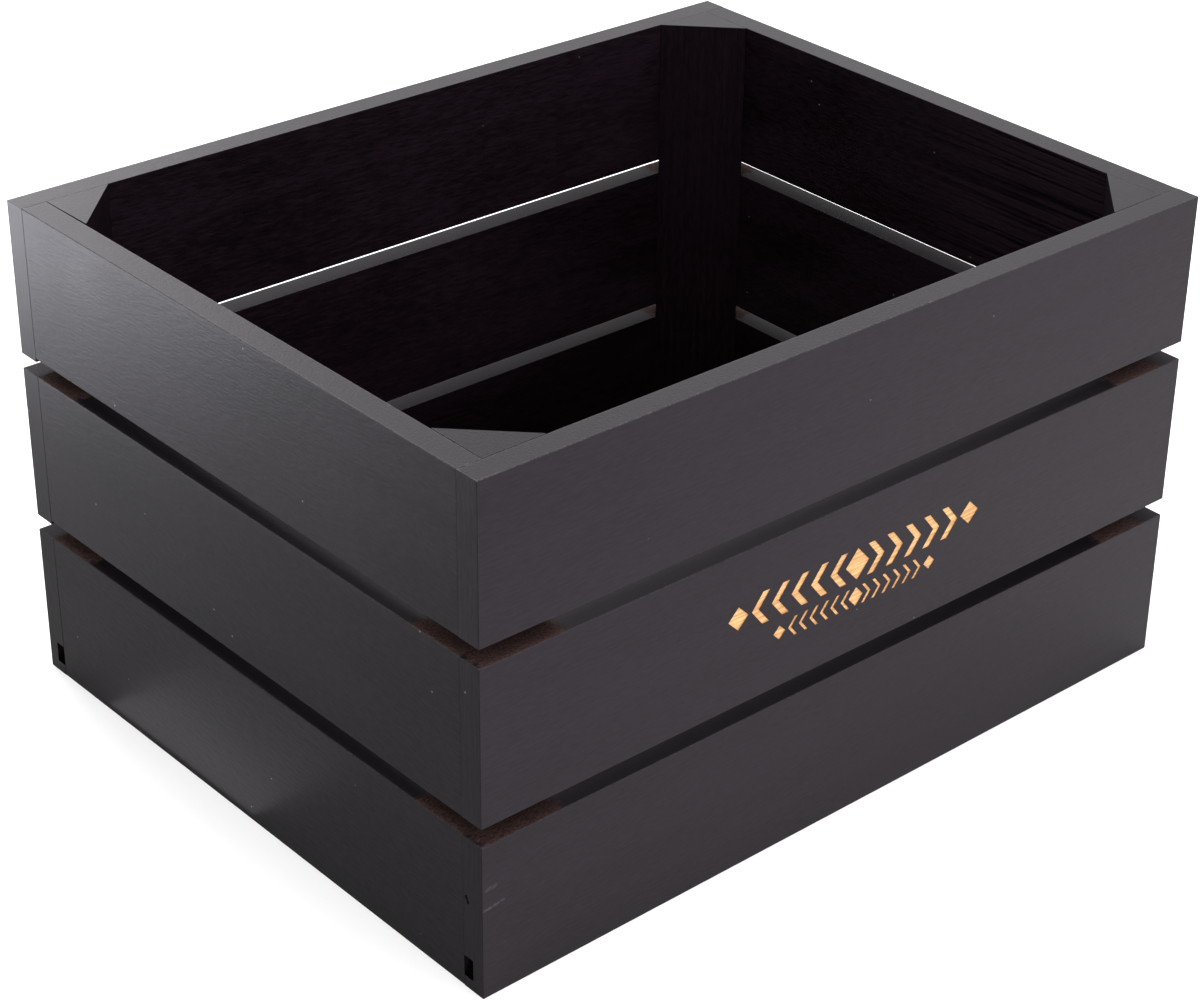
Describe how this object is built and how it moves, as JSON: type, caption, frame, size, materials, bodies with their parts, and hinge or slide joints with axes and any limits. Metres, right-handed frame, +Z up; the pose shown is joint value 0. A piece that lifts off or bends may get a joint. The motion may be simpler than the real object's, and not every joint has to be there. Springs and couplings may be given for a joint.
{
  "type": "slatted wooden crate",
  "caption": "Open-top black-stained wooden crate of three tiers of slats on triangular corner posts, with a grooved-in bottom panel.",
  "frame": {"origin": "centre of the base, at the height of the surface the crate stands on", "axes": "+X along the long side, +Y from the front to the back, +Z up"},
  "size_m": [0.4, 0.317, 0.232],
  "materials": {
    "painted_board": "satin black stain over fine straight grain",
    "painted_post": "satin black stain, bare brown where the gaps uncover it",
    "painted_plywood": "matt black stain on plywood",
    "staple_wire": "zinc-coated wire"
  },
  "bodies": {
    "root": {"front_board_bottom": "painted_board", "front_board_middle": "painted_board", "front_board_top": "painted_board", "right_board_bottom": "painted_board", "right_board_middle": "painted_board", "right_board_top": "painted_board", "back_board_bottom": "painted_board", "back_board_middle": "painted_board", "back_board_top": "painted_board", "left_board_bottom": "painted_board", "left_board_middle": "painted_board", "left_board_top": "painted_board", "front_left_post": "painted_post", "front_right_post": "painted_post", "back_right_post": "painted_post", "back_left_post": "painted_post", "bottom_panel": "painted_plywood", "front_staple_bottom_left": "staple_wire", "front_staple_bottom_right": "staple_wire", "front_staple_middle_left": "staple_wire", "front_staple_middle_right": "staple_wire", "front_staple_top_left": "staple_wire", "front_staple_top_right": "staple_wire", "right_staple_bottom_left": "staple_wire", "right_staple_bottom_right": "staple_wire", "right_staple_middle_left": "staple_wire", "right_staple_middle_right": "staple_wire", "right_staple_top_left": "staple_wire", "right_staple_top_right": "staple_wire", "back_staple_bottom_left": "staple_wire", "back_staple_bottom_right": "staple_wire", "back_staple_middle_left": "staple_wire", "back_staple_middle_right": "staple_wire", "back_staple_top_left": "staple_wire", "back_staple_top_right": "staple_wire", "left_staple_bottom_left": "staple_wire", "left_staple_bottom_right": "staple_wire", "left_staple_middle_left": "staple_wire", "left_staple_middle_right": "staple_wire", "left_staple_top_left": "staple_wire", "left_staple_top_right": "staple_wire"}
  },
  "joints": []
}
